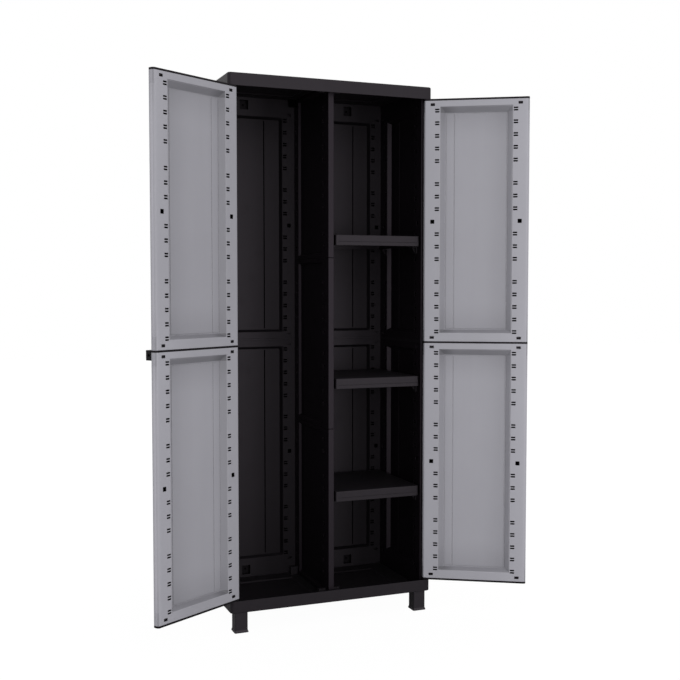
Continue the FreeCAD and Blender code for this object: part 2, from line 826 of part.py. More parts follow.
def foot(x, y):
    """Hollow square foot, open at the bottom, with a screw boss under its top plate."""
    half = foot_side / 2
    top = foot_height - fit_gap
    rim = half + foot_rim_spread
    radius = foot_corner_radius
    body = prism(x - half, x + half, y - half, y + half, 0, top, [radius] * 4)
    rim_block = prism(x - rim, x + rim, y - rim, y + rim, 0, foot_rim_height, [radius] * 4)
    flare_sides = (x - rim, x + rim, y - rim, y + rim)
    flare = level_frustum(*flare_sides, foot_rim_height, foot_flare_top, foot_rim_spread)
    flare = round_slanted_edges(flare, radius)
    inside = half - foot_wall
    sides = (x - inside, x + inside, y - inside, y + inside)
    hollow = prism(*sides, -1, top - foot_top, [foot_hollow_radius] * 4)
    screw_x, screw_y = screw_place(x, y)
    boss_end = top - foot_top - foot_boss_length
    boss = cylinder_z(screw_x, screw_y, boss_end, top - foot_top / 2, foot_boss_radius)
    bore = cylinder_z(screw_x, screw_y, 0, top + 1, screw_radius + thread_clearance)
    return body.fuse([rim_block, flare]).cut(hollow).fuse(boss).cut(bore).removeSplitter()


def foot_screw(x, y):
    """Pan-head screw that drops through the deck into the foot's boss."""
    head = cylinder_z(x, y, deck_top + fit_gap, deck_top + fit_gap + screw_head_height, screw_head_radius)
    rims = [edge for edge in head.Edges if edge_is_ring_at(edge, deck_top + fit_gap + screw_head_height)]
    head = head.makeFillet(screw_head_height / 2, rims)
    shank = cylinder_z(x, y, deck_top + fit_gap - screw_length, deck_top + fit_gap + 1, screw_radius)
    head_top = deck_top + fit_gap + screw_head_height
    levels = (head_top - screw_recess_depth, head_top + 1)
    long = screw_recess_length / 2
    short = screw_recess_width / 2
    slots = [box(x - long, x + long, y - short, y + short, *levels)]
    slots.append(box(x - short, x + short, y - long, y + long, *levels))
    return head.fuse(shank).cut(slots).removeSplitter()


def edge_is_ring_at(edge, z):
    """Whether the edge is a full circle in the level plane z."""
    return len(edge.Vertexes) == 1 and abs(edge.Vertexes[0].Point.z - z) < 1e-6


def make_feet():
    screws = []
    for name, (x, y) in foot_places().items():
        keep(name, foot(x, y))
        screws.append(foot_screw(*screw_place(x, y)))
    keep("foot_screws", Part.Compound(screws))


def bands(z0, z1, floor, mouth, edge_z, edge_radius):
    """Rounded tray: a band round a plate, hollow from the plane floor out to the plane mouth."""
    outside = prism(-half_width, half_width, front, back, z0, z1, [band_corner_radius] * 4)
    rims = [edge for edge in outside.Edges if edge_is_level_at(edge, edge_z)]
    outside = outside.makeFillet(edge_radius, rims)
    wall = band_wall
    low = min(floor, mouth)
    high = max(floor, mouth)
    x = half_width - wall
    return outside.cut(prism(-x, x, front + wall, back - wall, low, high, [band_inner_radius] * 4))


def decks(z_plate, z_face):
    """Raised deck inside the walls, with one shallow pan in each compartment."""
    side = wall_inner_x - fit_gap
    start = front + band_wall / 2
    end = back_inner_y - fit_gap
    low = min(z_plate, z_face)
    high = max(z_plate, z_face)
    deck = box(-side, side, start, end, low, high)
    near = divider_thickness / 2 + deck_border / 2
    far = side - deck_border
    pan_front = wall_front_y + deck_border
    pan_back = end - deck_border
    pans = [
        level_frustum(near, far, pan_front, pan_back, z_face, z_plate, deck_slope_run),
        level_frustum(-far, -near, pan_front, pan_back, z_face, z_plate, deck_slope_run),
    ]
    return deck.cut(pans)


def hinge_bosses(z0, z1):
    return [cylinder_z(side * hinge_x, hinge_y, z0, z1, band_boss_radius) for side in (-1, 1)]


def bush_seats(z0, z1):
    radius = pin_radius + pin_running_clearance + bush_wall + bush_seat_clearance
    return [cylinder_z(side * hinge_x, hinge_y, z0, z1, radius) for side in (-1, 1)]


def base_tray():
    """Band and floor plate, with the deck, the hinge bosses, the divider's lugs and the screw holes."""
    tray = bands(base_bottom, base_top, floor_top, base_top + 1, base_bottom, base_edge_radius)
    lugs = divider_lugs(deck_top - 1, deck_top + lug_height)
    deck = decks(floor_top - plate_thickness / 2, deck_top)
    tray = tray.fuse([deck] + hinge_bosses(floor_top - 1, base_top) + lugs)
    cutters = bush_seats(base_top - bush_length - fit_gap, base_top + 1)
    for place in foot_places().values():
        x, y = screw_place(*place)
        cutters.append(cylinder_z(x, y, base_bottom - 1, deck_top + 1, screw_radius + screw_clearance))
    return tray.cut(cutters).removeSplitter()


def cap_top_groove():
    """Shallow groove that frames the roof's top face."""
    inset = cap_field_border
    outer_radii = [band_corner_radius] * 4
    x = half_width - inset
    y = cabinet_depth / 2 - inset
    z0 = cabinet_height - cap_groove_depth
    z1 = cabinet_height + 1
    ring = prism(-x, x, -y, y, z0, z1, outer_radii)
    step = cap_groove_width
    inner_radii = [band_corner_radius - step] * 4
    return ring.cut(prism(-x + step, x - step, -y + step, y - step, z0 - 1, z1 + 1, inner_radii))


def roof_cap():
    """Band and roof plate, with the deck, the hinge bosses and the divider's lugs hanging from it."""
    cap = bands(cap_bottom, cabinet_height, roof_under, cap_bottom - 1, cabinet_height, cap_edge_radius)
    lugs = divider_lugs(roof_deck - lug_height, roof_deck + 1)
    deck = decks(roof_under + plate_thickness / 2, roof_deck)
    cap = cap.fuse([deck] + hinge_bosses(cap_bottom, roof_under + 1) + lugs)
    cutters = bush_seats(cap_bottom - 1, cap_bottom + bush_length + fit_gap)
    return cap.cut(cutters + [cap_top_groove()]).removeSplitter()


def hinge_bush(x, rim_z, flange, direction):
    """Flanged bush: its barrel goes into the band from rim_z, and its flange faces the door."""
    barrel_radius = pin_radius + pin_running_clearance + bush_wall
    end = rim_z + direction * bush_length
    face = rim_z - direction * flange
    barrel = cylinder_z(x, hinge_y, min(rim_z, end), max(rim_z, end), barrel_radius)
    start = rim_z - direction * rest_gap / 2
    ring = cylinder_z(x, hinge_y, min(start, face), max(start, face), bush_flange_radius)
    neck = cylinder_z(x, hinge_y, min(start, rim_z), max(start, rim_z), barrel_radius)
    bore_radius = pin_radius + pin_running_clearance
    bore = cylinder_z(x, hinge_y, min(face, end) - 1, max(face, end) + 1, bore_radius)
    return barrel.fuse([ring, neck]).cut(bore).removeSplitter()


def make_bushes():
    """Two thick-flanged bushes that carry the doors and two thin ones that guide them."""
    bushes = []
    for x in (-hinge_x, hinge_x):
        bushes.append(hinge_bush(x, base_top, door_foot_gap - rest_gap, -1))
        bushes.append(hinge_bush(x, cap_bottom, door_head_gap - rest_gap, 1))
    keep("hinge_bushes", Part.Compound(bushes))


def seat_slot(bottom):
    """Height of the single slot whose clip carries a shelf's bottom edge nearest to this height."""
    slots = [z + side * slot_pair_spacing / 2 for z in row_heights() for side in (-1, 1)]
    return min(slots, key=lambda z: abs(z + clip_seat + rest_gap - bottom))


def shelf(z0):
    """Half-width shelf: a plate with an apron all round, ribs below and a fine line along its front."""
    x0 = divider_thickness / 2 + shelf_end_gap
    x1 = wall_inner_x - shelf_end_gap
    y0 = wall_front_y + divider_front_setback
    y1 = back_inner_y - shelf_back_gap
    z1 = z0 + shelf_thickness
    block = prism(x0, x1, y0, y1, z0, z1, [shelf_corner_radius] * 4)
    rims = [edge for edge in block.Edges if edge_is_level_at(edge, z1)]
    block = block.makeFillet(shelf_edge_radius, rims)
    wall = shelf_wall
    radii = [shelf_corner_radius - wall] * 4
    tray = block.cut(prism(x0 + wall, x1 - wall, y0 + wall, y1 - wall, z0 - 1, z1 - wall, radii))
    spacing = (x1 - x0) / (shelf_ribs + 1)
    across = [x0 + spacing * (i + 1) for i in range(shelf_ribs)]
    middle = (y0 + y1) / 2
    levels = (z1 - shelf_rib_height, z1 - wall / 2)
    half = shelf_rib_thickness / 2
    ribs = [box(x - half, x + half, y0 + wall / 2, y1 - wall / 2, *levels) for x in across]
    ribs.append(box(x0 + wall / 2, x1 - wall / 2, middle - half, middle + half, *levels))
    line_ends = (x0 + shelf_line_inset, x1 - shelf_line_inset)
    line_levels = (z0 + shelf_line_height, z0 + shelf_line_height + shelf_line_width)
    line = box(*line_ends, y0 - 1, y0 + shelf_line_depth, *line_levels)
    return tray.fuse(ribs).cut(line).removeSplitter()


def shelf_clip(slot_z):
    """Clip in its own frame: the stile's face is y = 0, the slot is at x = 0, and the ledge is at +y."""
    half = clip_width / 2
    near = fit_gap
    top = slot_z + clip_seat
    plate = box(-half, half, near, near + clip_plate, slot_z - clip_drop, top)
    ledge = box(-half, half, near, clip_ledge_reach, top - clip_ledge, top)
    reach = clip_ledge_reach - near
    drop = clip_drop + clip_seat - clip_ledge
    corner = [
        Vector(-clip_gusset / 2, near + 1, top - clip_ledge + 1),
        Vector(-clip_gusset / 2, near + reach - 2, top - clip_ledge + 1),
        Vector(-clip_gusset / 2, near + 1, top - clip_ledge - drop + 2),
    ]
    gusset = Part.Face(Part.makePolygon(corner + [corner[0]])).extrude(Vector(clip_gusset, 0, 0))
    prong_half = slot_width / 2 - clip_prong_margin
    tall = slot_height / 2 - clip_prong_margin / 2
    prong = box(-prong_half, prong_half, -clip_prong_depth, near + 1, slot_z - tall, slot_z + tall)
    hook_start = -(inner_wall + 2 * fit_gap)
    hook_end = slot_z - tall - clip_hook_drop
    hook = box(-prong_half, prong_half, -clip_prong_depth, hook_start, hook_end, slot_z)
    return plate.fuse([ledge, gusset, prong, hook]).removeSplitter()


def make_shelves():
    """The shelves, and four clips for each: two in the divider and two in the right wall."""
    clips = []
    y0, y1, _ = divider_span()
    divider_columns = (y0 + divider_front_column, y1 - divider_rear_column)
    wall_columns = (wall_front_y + slot_column_inset, wall_rear_y - slot_column_inset)
    for name, height in shelf_heights.items():
        slot_z = seat_slot(height - shelf_thickness)
        keep(name, shelf(slot_z + clip_seat + rest_gap))
        clip = shelf_clip(slot_z)
        clips += [placed(clip, -90, divider_thickness / 2, y) for y in divider_columns]
        clips += [placed(clip, 90, wall_inner_x, y) for y in wall_columns]
    keep("shelf_clips", Part.Compound(clips))


keep("base_tray", base_tray())
keep("roof_cap", roof_cap())
make_feet()
make_side_walls()
make_back_wall()
make_divider()
make_shelves()
make_bushes()
make_doors()

for name, shape in nodes.items():
    if not shape.isValid():
        print("invalid", name)
    for solid in shape.Solids:
        if solid.Volume <= 0:
            print("inside out", name)
    shape.exportStep(f"parts/{name}.step")
    print(name, len(shape.Solids), "solids,", round(shape.Volume / 1000, 1), "cm3")
print(len(nodes), "nodes")
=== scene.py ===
# %% [markdown]
# # Garden storage cabinet: looks
# The CAD model already holds the cabinet's true shape: twelve framed panels in double shells, a divider,
# shelves, trims, hinges and feet. This lesson puts the finishes on it and adds the small moulded details
# that a CAD model leaves out. Everything is in metres, in the CAD model's own frame: the origin is on the
# floor under the middle of the cabinet, -Y is the front and +Z is up.

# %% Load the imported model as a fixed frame
import json
import math
import bmesh
import bpy
from mathutils import Matrix, Vector


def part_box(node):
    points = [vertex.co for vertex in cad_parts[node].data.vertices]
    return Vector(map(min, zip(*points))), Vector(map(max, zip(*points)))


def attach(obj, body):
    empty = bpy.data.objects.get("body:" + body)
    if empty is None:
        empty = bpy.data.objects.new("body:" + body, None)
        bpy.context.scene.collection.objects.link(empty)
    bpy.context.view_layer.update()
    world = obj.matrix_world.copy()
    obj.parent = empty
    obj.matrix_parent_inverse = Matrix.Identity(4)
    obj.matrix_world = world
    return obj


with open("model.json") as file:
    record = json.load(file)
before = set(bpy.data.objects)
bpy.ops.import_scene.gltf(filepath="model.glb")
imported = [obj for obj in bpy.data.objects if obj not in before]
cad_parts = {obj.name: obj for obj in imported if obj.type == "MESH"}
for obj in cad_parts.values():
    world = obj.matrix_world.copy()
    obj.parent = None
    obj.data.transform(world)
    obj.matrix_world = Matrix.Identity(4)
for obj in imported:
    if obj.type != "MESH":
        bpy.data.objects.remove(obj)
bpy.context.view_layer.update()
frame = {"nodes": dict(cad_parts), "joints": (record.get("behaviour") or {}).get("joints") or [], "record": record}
nodes = frame["nodes"]

# %% [markdown]
# ## Panels and hinges
# The cabinet is built from one kind of panel: a moulded frame of stiles and rails around a sunken field.
# The finishes and the pockets made below have to meet those panels exactly, so the panel's sizes are
# written down once. Where a size can be read from a CAD part's box or from a joint, it is read, because
# then it can't go out of step.

# %% Sizes of the panels, in metres
MM = 0.001
INNER_WALL = 2.2 * MM
RECESS_DEPTH = 15 * MM
STILE_WIDTH = 53 * MM

lower_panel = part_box("left_door_lower_inner_panel")
upper_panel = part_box("left_door_upper_inner_panel")
field_heights = [(low.z + high.z) / 2 for low, high in (lower_panel, upper_panel)]
print("panel centres at", [round(z, 4) for z in field_heights])

# %% The doors: closed place, and how far they stand open
DOOR_ANGLE = math.radians(149.2)
DOOR_WIDTH = 334 * MM
DOOR_SIDE = 335.5 * MM
DOOR_INNER_Y = -165.5 * MM

hinges = {joint["child"]: Vector(joint["pos_m"]) for joint in frame["joints"]}
print("hinges at", hinges)

# %% [markdown]
# ## Sums of nodes in Python
# A finish is a handful of masks that are added, scaled and mixed. Wired by hand, that is a long list of
# Math nodes. The small class below wraps one number socket, so that `0.4 + 0.1 * grain` adds the nodes
# itself. It works in any node tree, so the pockets and the world further down use it too.

# %% A wrapped number socket
class Value:
    """A number socket that can be used in a sum."""

    def __init__(self, tree, socket):
        self.tree = tree
        self.socket = socket

    def _math(self, operation, first, second):
        node = self.tree.add("ShaderNodeMath", {"operation": operation}, {0: first, 1: second})
        return Value(self.tree, node.outputs[0])

    def __add__(self, other):
        return self._math("ADD", self, other)

    __radd__ = __add__

    def __mul__(self, other):
        return self._math("MULTIPLY", self, other)

    __rmul__ = __mul__

    def __sub__(self, other):
        return self._math("SUBTRACT", self, other)

    def __rsub__(self, other):
        return self._math("SUBTRACT", other, self)

    def size(self):
        """The number without its sign."""
        return self._math("ABSOLUTE", self, 0.0)

    def least(self, other):
        return self._math("MINIMUM", self, other)

    def clamped(self):
        return self._math("MAXIMUM", self, 0.0).least(1.0)


# %% [markdown]
# Every other node comes from one method, `add`, which takes the node's type, its settings and what its
# sockets are fed, be it a value or a link.

# %% A node tree that any node can be added to
class NodeTree:
    """A node tree, empty at first."""

    def __init__(self, tree):
        self.tree = tree
        self.tree.nodes.clear()

    def add(self, kind, settings=None, inputs=None):
        node = self.tree.nodes.new(kind)
        for key, value in (settings or {}).items():
            setattr(node, key, value)
        for key, value in (inputs or {}).items():
            self.feed(node.inputs[key], value)
        return node

    def feed(self, socket, value):
        if isinstance(value, Value):
            value = value.socket
        if isinstance(value, bpy.types.NodeSocket):
            self.tree.links.new(value, socket)
        else:
            socket.default_value = value

    def value(self, kind, output=0, settings=None, inputs=None):
        return Value(self, self.add(kind, settings, inputs).outputs[output])


# %% [markdown]
# A finish is such a tree, with the few shader nodes that this cabinet needs. Colours go through a Mix or a
# Vector Math node, because a Math node would turn them grey. Positions are Object coordinates, because the
# CAD parts all sit at the origin and so share one frame: a mask written in metres then fits every part.

# %% A finish
class Finish(NodeTree):
    """One material, built node by node."""

    def __init__(self, name):
        self.material = bpy.data.materials.new(name)
        self.material.use_nodes = True
        super().__init__(self.material.node_tree)

    def place(self):
        """Object coordinates: metres in the cabinet's frame."""
        return self.add("ShaderNodeTexCoord").outputs["Object"]

    def position(self):
        """The same as three numbers."""
        axes = self.add("ShaderNodeSeparateXYZ", None, {0: self.place()})
        return [Value(self, axes.outputs[axis]) for axis in "XYZ"]

    def stretched(self, scale):
        return self.add("ShaderNodeMapping", None, {"Vector": self.place(), "Scale": scale}).outputs[0]

    def noise(self, scale, detail, roughness, vector=None):
        inputs = {"Vector": vector or self.place(), "Scale": scale, "Detail": detail, "Roughness": roughness}
        return self.value("ShaderNodeTexNoise", "Fac", {"noise_dimensions": "3D"}, inputs)

    def above(self, value, low, high):
        """0 below low, 1 above high, and smooth between."""
        inputs = {"Value": value, "From Min": low, "From Max": high, "To Min": 0.0, "To Max": 1.0}
        return self.value("ShaderNodeMapRange", 0, {"interpolation_type": "SMOOTHSTEP"}, inputs)

    def under(self, value, low, high):
        """1 below low, 0 above high, and smooth between."""
        return 1.0 - self.above(value, low, high)

    def mix(self, amount, first, second):
        """Colour between two colours."""
        node = self.add("ShaderNodeMix", {"data_type": "RGBA"})
        self.feed(node.inputs["Factor"], amount)
        first_colour, second_colour = (socket for socket in node.inputs if socket.type == "RGBA")
        self.feed(first_colour, first)
        self.feed(second_colour, second)
        return next(socket for socket in node.outputs if socket.type == "RGBA")

    def scaled(self, amount, colour):
        """A colour made darker or lighter by a number."""
        node = self.add("ShaderNodeVectorMath", {"operation": "SCALE"})
        self.feed(node.inputs[0], colour)
        self.feed(node.inputs["Scale"], amount)
        return node.outputs[0]

    def shader(self, colour, roughness, normal, constants):
        """Principled shader with a varying colour, and constants on its other sockets."""
        inputs = {"Base Color": colour, "Roughness": roughness}
        if normal:
            inputs["Normal"] = normal
        return self.add("ShaderNodeBsdfPrincipled", None, {**inputs, **constants}).outputs[0]

    def finish_with(self, shader):
        self.add("ShaderNodeOutputMaterial", None, {"Surface": shader})
        return self.material


# %% [markdown]
# ## Moulded resin
# The cabinet is injection-moulded polypropylene. Its tool is spark-eroded, which leaves an even fine grain of
# about a millimetre, and the plastic itself is slightly cloudy, with faint streaks along the way it flowed up each
# panel. Edges are burnished by handling, so they are a little paler and smoother; on the grey doors the paler edge
# is also a painted highlight. A plain colour would miss all of that, and a picture texture would tile, so each
# effect is its own noise. The edge is found by comparing the normal with a normal that is rounded off.
#
# In tight corners and behind slots hardly any light gets in, and the sheen of the plastic is lost too. There the
# resin is mixed with a darker one without sheen, as painted shade. An occlusion node finds those places, and a
# finish can name more of them by its own mask.

# %% The body of the resin, and its worn edges, on the grey partly a painted highlight
def cloudy_body(finish, dark, light):
    cloud = finish.noise(scale=6.0, detail=3.0, roughness=0.55)
    streak = finish.noise(scale=1.0, detail=3.0, roughness=0.6, vector=finish.stretched((26.0, 26.0, 1.6)))
    speckle = finish.noise(scale=420.0, detail=2.0, roughness=0.6)
    blend = (0.5 * cloud + 0.35 * streak + 0.15 * speckle).clamped()
    return finish.mix(finish.above(blend, 0.32, 0.68), dark, light)


def worn_edge_and_highlight(finish, rounded):
    """1 on edges that hands have polished; on the grey doors this paler edge is also a painted highlight."""
    plain = finish.add("ShaderNodeNewGeometry").outputs["Normal"]
    aligned = finish.value(
        "ShaderNodeVectorMath", "Value", {"operation": "DOT_PRODUCT"}, {0: rounded, 1: plain},
    )
    wear = finish.noise(scale=85.0, detail=3.0, roughness=0.6)
    return (finish.above(1.0 - aligned, 0.02, 0.20) * finish.above(wear, 0.30, 0.62)).clamped()


# %% Moulded resin in a given colour
CAVITY_REACH = 14 * MM
CAVITY_SHUT = 0.20
CAVITY_OPEN = 0.46
PAINTED_SHADE_SHARE = 0.30
WHITE_SHEEN = (1.0, 1.0, 1.0, 1.0)


def moulded_resin(name, dark, light, rough, grain_height, edge_colour, edge_amount, edge_radius,
                  specular, cavity, tint=WHITE_SHEEN, shade=None, unlit=None):
    finish = Finish(name)
    rounded = finish.add("ShaderNodeBevel", {"samples": 4}, {"Radius": edge_radius}).outputs[0]
    edge = worn_edge_and_highlight(finish, rounded)
    colour = finish.mix(edge * edge_amount, cloudy_body(finish, dark, light), edge_colour)
    if shade:
        colour = finish.scaled(shade(finish), colour)

    grain = finish.noise(scale=950.0, detail=2.5, roughness=0.6)
    scuff = finish.above(finish.noise(scale=16.0, detail=4.0, roughness=0.65), 0.55, 0.75)
    roughness = (rough + 0.10 * (grain - 0.5) + 0.05 * scuff - 0.10 * edge).clamped()
    bump = finish.add(
        "ShaderNodeBump", None,
        {"Strength": 0.35, "Distance": grain_height, "Height": grain, "Normal": rounded},
    ).outputs[0]
    glossy = finish.shader(
        colour, roughness, bump, {"Specular IOR Level": specular, "Specular Tint": tint},
    )
    # Painted shade: a darker copy of the colour without sheen, mixed in below where little light gets in.
    painted_shade_shader = finish.shader(
        finish.scaled(PAINTED_SHADE_SHARE, colour), 1.0, None, {"Specular IOR Level": 0.0, "Diffuse Roughness": 1.0},
    )

    openness = finish.value(
        "ShaderNodeAmbientOcclusion", "AO", {"samples": 8}, {"Distance": CAVITY_REACH},
    )
    shut = finish.under(openness, CAVITY_SHUT, CAVITY_OPEN) * cavity
    if unlit:
        shut = (shut + unlit(finish)).clamped()
    mixed = finish.add("ShaderNodeMixShader", None, {0: shut, 1: glossy, 2: painted_shade_shader})
    return finish.finish_with(mixed.outputs[0])


# %% [markdown]
# ## Shade on the grey doors
# The doors are pale, so the soft shade in their recesses is most of what shows their shape. It is deepest
# on the sloped ends of a recess and fades towards its middle, while the frame is lightest along the free
# edge. Lamps alone gave too little of it, so part of it is put into the colour.
#
# A mask for it needs to know where on a door a point is. Both doors mirror each other about x = 0, so the
# size of x stands for both, and two directions of the open right door turn x and y into a depth under the
# door's face and a place across its width.

# %% Where a point is on a door
door_turn = Matrix.Rotation(DOOR_ANGLE, 3, "Z")
door_facing = door_turn @ Vector((0, 1, 0))
door_across = door_turn @ Vector((-1, 0, 0))
door_hinge = hinges["right_door"]
face_level = door_hinge.dot(door_facing) + DOOR_INNER_Y - door_hinge.y
door_middle = door_hinge.dot(door_across) - (DOOR_SIDE - DOOR_WIDTH / 2 - door_hinge.x)
print("an open door faces", door_facing, "and its free edge lies towards", door_across)


def place_on_door(x, y, z):
    """Depth under the show face, distance towards the free edge, and distance from the field's middle."""
    x = x.size()
    depth = face_level - (x * door_facing.x + y * door_facing.y)
    across = x * door_across.x + y * door_across.y - door_middle
    along = (z - field_heights[0]).size().least((z - field_heights[1]).size())
    return depth, across, along


# %% [markdown]
# The recess has a floor, two side walls and two sloped end walls. Each gets its own share of the shade,
# with more of it near the hinge and near the ends, where the frame stands in the light's way. Near the free
# edge only the floor is darker, because the walls there are turned to the light.

# %% Shade in a door's recess
FLOOR_HALF_WIDTH = DOOR_WIDTH / 2 - STILE_WIDTH - 14.5 * MM
FLOOR_HALF_HEIGHT = 347.25 * MM
END_REACH = (-10 * MM, 100 * MM)
HINGE_REACH = (-14 * MM, 50 * MM)
EDGE_REACH = (-14 * MM, 95 * MM)


def under_door_face(finish, depth):
    return finish.above(depth, 0.3 * MM, 1.2 * MM)


def recess_shade(finish, depth, across, along):
    """How much painted shade darkens a point for lying in the recess."""
    sunk = under_door_face(finish, depth)
    sunk = sunk * finish.under(depth, RECESS_DEPTH + 2.5 * MM, RECESS_DEPTH + 4 * MM)
    wall = sunk * finish.under(depth, RECESS_DEPTH - 1.2 * MM, RECESS_DEPTH - 0.3 * MM)
    end_wall = wall * finish.above(along - FLOOR_HALF_HEIGHT, -1.5 * MM, 0.5 * MM)
    near_end = finish.under(FLOOR_HALF_HEIGHT - along, *END_REACH)
    near_hinge = finish.under(across + FLOOR_HALF_WIDTH, *HINGE_REACH)
    near_edge = finish.under(FLOOR_HALF_WIDTH - across, *EDGE_REACH)
    on_floor = 0.02 + 0.10 * near_hinge + 0.17 * near_edge + 0.13 * near_end
    on_walls = wall * (0.06 + 0.05 * near_hinge - 0.17 * near_edge)
    on_end_walls = end_wall * (0.13 + 0.10 * near_hinge)
    return sunk * (on_floor + on_walls + on_end_walls)


# %% [markdown]
# A slot is so narrow that its own walls fill half of it when it is seen at an angle. In the photograph the slots
# read as black marks, so their walls get painted shade. The four door panels also differ a little in brightness
# there, by how the light falls on them, so painted light makes the right door and the lower panels lighter.

# %% The whole shade of a door
FRAME_TONE = 0.98
SLOT_WALL_SHADE = 0.9


def slot_walls(finish, depth, from_side):
    """1 on the walls of the slots in the stiles, which get painted shade."""
    in_shell = finish.under(depth, INNER_WALL + 0.5 * MM, INNER_WALL + 1 * MM)
    in_stile = finish.above(from_side, 7 * MM, 8 * MM)
    in_stile = in_stile * finish.under(from_side, STILE_WIDTH - 2 * MM, STILE_WIDTH - 1 * MM)
    return under_door_face(finish, depth) * in_shell * in_stile


def door_shade(finish):
    x, y, z = finish.position()
    depth, across, along = place_on_door(x, y, z)
    from_side = DOOR_WIDTH / 2 - across.size()
    # Painted light: the right door and the lower panels are made lighter.
    right_door = finish.above(x, -1 * MM, 1 * MM)
    low_panel = finish.under(z, 0.75, 1.05)
    painted_panel_light = 0.95 + 0.08 * right_door + 0.05 * low_panel

    # Painted highlight: the frame is made lighter towards the free edge, along its rim and on its side face.
    outwards = finish.above(across, 0.0, DOOR_WIDTH / 2)
    rim = finish.above(across, DOOR_WIDTH / 2 - 20 * MM, DOOR_WIDTH / 2 - 2 * MM)
    side_face = under_door_face(finish, depth) * finish.under(from_side, 0.3 * MM, 1 * MM)
    painted_edge_light = 0.08 * outwards + 0.06 * rim + 0.35 * side_face
    open_shade = FRAME_TONE + painted_edge_light - recess_shade(finish, depth, across, along)
    # Painted shade darkens the slot walls.
    return painted_panel_light * open_shade * (1.0 - SLOT_WALL_SHADE * slot_walls(finish, depth, from_side))


# %% [markdown]
# ## Dark hollows in the carcass
# Inside the black carcass some places are darker still, because little light reaches them: the thin upright
# grooves in the back panels, the square sockets near their ends, and the roof's underside with its lugs. They are
# too open for the occlusion node to find, so each has a mask of its own for painted shade, again in metres from
# the CAD parts' boxes.

# %% Masks for the hollows
back_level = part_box("back_lower_left_inner_panel")[0].y
back_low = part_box("back_lower_left_inner_panel")[0].z
back_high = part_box("back_upper_left_inner_panel")[1].z
inside_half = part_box("right_wall_upper_inner_panel")[0].x
ROOF_MARGIN = 6 * MM
SOCKET_REACH = 44 * MM
SOCKET_SHARE = 0.6
print("inner back at y =", round(back_level, 4), "from", round(back_low, 4), "to", round(back_high, 4))


def back_hollows(finish):
    """Painted shade: 1 in the back wall's upright grooves, and less in its square sockets."""
    y, z = finish.position()[1:]
    depth = y - back_level
    from_end = (z - back_low).size().least((z - back_high).size())
    groove = finish.above(depth, RECESS_DEPTH + 0.3 * MM, RECESS_DEPTH + 0.9 * MM)
    socket = finish.above(depth, 2 * MM, 7 * MM) * finish.under(from_end, SOCKET_REACH, SOCKET_REACH + 1 * MM)
    return groove + SOCKET_SHARE * socket


def roof_hollow(finish):
    """Painted shade: 1 on the roof's underside and its lugs, inside the cabinet's rear half."""
    x, y, z = finish.position()
    inside = finish.under(x.size(), inside_half - 2 * MM, inside_half)
    rear_half = finish.above(y, 0.0, 20 * MM) * finish.under(y, back_level - 2 * MM, back_level)
    return inside * rear_half * finish.under(z, back_high - ROOF_MARGIN, back_high - ROOF_MARGIN + 2 * MM)


# %% [markdown]
# ## The resins
# There is one black resin in the cabinet, but its parts don't look the same: they stand at different angles to the
# light, and the doors' trims come from a smoother tool. So one set of values describes the black, and a part only
# says what differs, and some of those differences are painted light and shade: the side walls and the divider are
# a darker copy, nearly black, as painted shade, and the feet are a copy with more sheen, as painted light, since
# they catch the most light. The black leans towards violet, which comes from a sheen with a little less green. The
# grey is one resin for all four door panels.

# %% Black resin and its variants
BLACK = {
    "dark": (0.0036, 0.0030, 0.0038, 1), "light": (0.0056, 0.0048, 0.0059, 1), "rough": 0.52,
    "grain_height": 0.18 * MM, "edge_colour": (0.030, 0.029, 0.032, 1), "edge_amount": 0.45,
    "edge_radius": 1.0 * MM, "specular": 0.34, "cavity": 0.9, "tint": (0.99, 0.88, 1.0, 1.0),
}


def kind_of_black(name, **changes):
    return moulded_resin(name, **{**BLACK, **changes})


black_resin = kind_of_black("black_resin")
# Painted light: a copy of the black with more sheen for the feet, which catch the most light.
foot_resin = kind_of_black("foot_resin", specular=0.43)
back_resin = kind_of_black("back_resin", specular=0.31, unlit=back_hollows)
roof_resin = kind_of_black("roof_resin", unlit=roof_hollow)
# Painted shade: a darker copy of the black for the side walls and the divider, which stand edge-on to the light.
side_resin = kind_of_black(
    "side_resin", dark=(0.0010, 0.0004, 0.0011, 1), light=(0.0018, 0.0008, 0.0019, 1), rough=0.50,
    edge_colour=(0.030, 0.026, 0.032, 1), specular=0.31, cavity=0.4, tint=(0.99, 0.85, 1.0, 1.0),
)
trim_resin = kind_of_black(
    "trim_resin", dark=(0.0030, 0.0026, 0.0032, 1), light=(0.0046, 0.0040, 0.0048, 1), rough=0.42,
    grain_height=0.10 * MM, edge_colour=(0.018, 0.017, 0.020, 1), edge_amount=0.35,
    edge_radius=0.8 * MM, specular=0.18,
)
# Painted shade: a darker, matt copy of the black for the slot pockets.
pocket_resin = kind_of_black(
    "pocket_resin", dark=(0.0010, 0.0009, 0.0011, 1), light=(0.0016, 0.0014, 0.0017, 1), rough=0.80,
    edge_colour=(0.006, 0.006, 0.006, 1), edge_amount=0.2, edge_radius=0.6 * MM, specular=0.05,
    cavity=1.0, tint=WHITE_SHEEN,
)
blacks = [black_resin, foot_resin, back_resin, roof_resin, side_resin, trim_resin, pocket_resin]
print("black resins:", [resin.name for resin in blacks])

# %% Grey resin
# Its paler edge colour is partly a painted highlight, and door_shade puts painted light and shade into its colour.
grey_resin = moulded_resin(
    "grey_resin", dark=(0.332, 0.327, 0.362, 1), light=(0.346, 0.341, 0.377, 1), rough=0.50,
    grain_height=0.16 * MM, edge_colour=(0.47, 0.46, 0.48, 1), edge_amount=0.60, edge_radius=1.6 * MM,
    specular=0.35, cavity=0.7, shade=door_shade,
)
print("grey resin:", grey_resin.name, "with", len(grey_resin.node_tree.nodes), "nodes")

